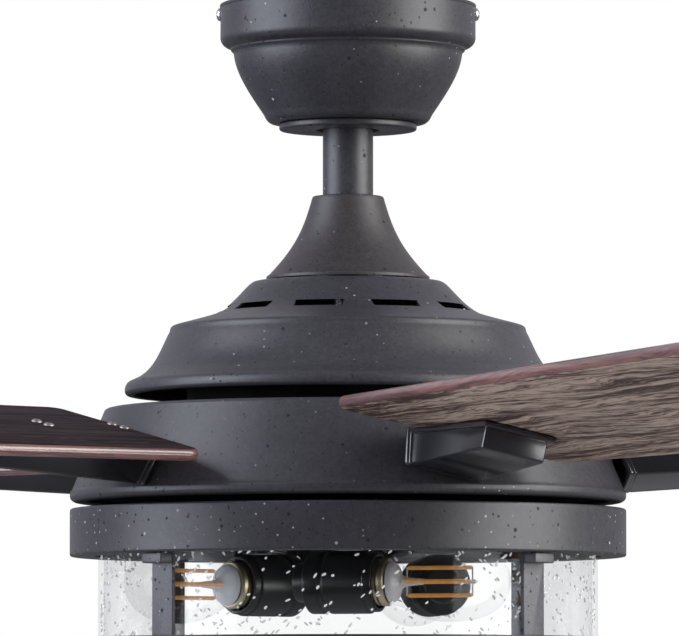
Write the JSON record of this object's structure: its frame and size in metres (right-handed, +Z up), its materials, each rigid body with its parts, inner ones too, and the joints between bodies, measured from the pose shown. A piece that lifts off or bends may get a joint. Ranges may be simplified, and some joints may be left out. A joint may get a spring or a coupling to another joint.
{
  "type": "ceiling fan with light",
  "caption": "Hanging ceiling fan with weathered wooden blades on box-shaped arms, a stepped black motor housing and a caged drum light of seeded glass.",
  "frame": {"origin": "middle of the hanger bracket's top face, on the ceiling plane", "axes": "+Z up, out of the bracket towards the ceiling; -Y towards the front, +X to the right; the fan hangs at negative z"},
  "size_m": [1.2462, 1.2865, 0.373],
  "materials": {
    "black_coat": "textured charcoal-black powder coat",
    "brown_coat": "brownish black powder coat",
    "zinc_plate": "zinc-plated pressed steel",
    "bright_screw": "bright plated",
    "motor_steel": "plain machined steel",
    "copper_wire": "enamelled copper wire",
    "ferrite": "matt ferrite",
    "weathered_wood": "weathered brown-grey grain, reddish edges",
    "black_plastic": "black moulded plastic",
    "seeded_glass": "clear glass with small air bubbles",
    "bulb_glass": "clear bulb glass"
  },
  "bodies": {
    "ceiling_mount": {"hanger_bracket": "zinc_plate", "canopy": "black_coat", "canopy_screw_left": "bright_screw", "canopy_screw_right": "bright_screw", "canopy_trim_ring": "black_coat", "receiver_box": "black_plastic"},
    "liner": {"ball_liner": "black_plastic"},
    "fan": {"hanger_ball": "black_plastic", "ball_cross_pin": "zinc_plate", "downrod": "black_coat", "yoke_coupling": "motor_steel", "yoke_set_screw": "zinc_plate", "clevis_pin": "zinc_plate", "clevis_clip": "zinc_plate", "motor_mount_plate": "motor_steel", "motor_shaft": "motor_steel", "stator_core": "motor_steel", "upper_winding": "copper_wire", "lower_winding": "copper_wire", "upper_bearing": "motor_steel", "lower_bearing": "motor_steel", "top_housing": "black_coat", "shaft_spacer": "motor_steel", "light_pan": "black_coat", "pan_nut": "zinc_plate", "cage_bar_1": "black_coat", "cage_bar_2": "black_coat", "cage_bar_3": "black_coat", "cage_bar_4": "black_coat", "cage_ring": "black_coat", "glass_drum": "seeded_glass", "lamp_socket_1": "black_plastic", "bulb_1": "bulb_glass", "socket_bracket_1": "zinc_plate", "lamp_socket_2": "black_plastic", "bulb_2": "bulb_glass", "socket_bracket_2": "zinc_plate", "lamp_socket_3": "black_plastic", "bulb_3": "bulb_glass", "socket_bracket_3": "zinc_plate"},
    "cover": {"coupling_cover": "brown_coat"},
    "rotor": {"motor_upper_shell": "motor_steel", "motor_lower_shell": "motor_steel", "magnet_ring": "ferrite", "arm_carrier": "motor_steel", "rotor_housing": "black_coat", "rotor_bottom_cover": "black_coat", "blade_arm_1": "black_coat", "blade_arm_2": "black_coat", "blade_arm_3": "black_coat", "blade_arm_4": "black_coat", "blade_arm_5": "black_coat", "blade_1": "weathered_wood", "blade_2": "weathered_wood", "blade_3": "weathered_wood", "blade_4": "weathered_wood", "blade_5": "weathered_wood"}
  },
  "joints": [
    {"name": "tilt_sideways", "type": "hinge", "parent": "ceiling_mount", "child": "liner", "pos_m": [0, 0, -0.0372], "axis": [1, 0, 0], "range_deg": [-3, 3]},
    {"name": "tilt_forward", "type": "hinge", "parent": "liner", "child": "fan", "pos_m": [0, 0, -0.0372], "axis": [0, 1, 0], "range_deg": [-3, 3]},
    {"name": "cover_lift", "type": "slide", "parent": "fan", "child": "cover", "axis": [0, 0, 1], "range_m": [0, 0.03]},
    {"name": "rotor_spin", "type": "hinge", "parent": "fan", "child": "rotor", "pos_m": [0, 0, -0.222], "axis": [0, 0, 1], "continuous": true}
  ]
}
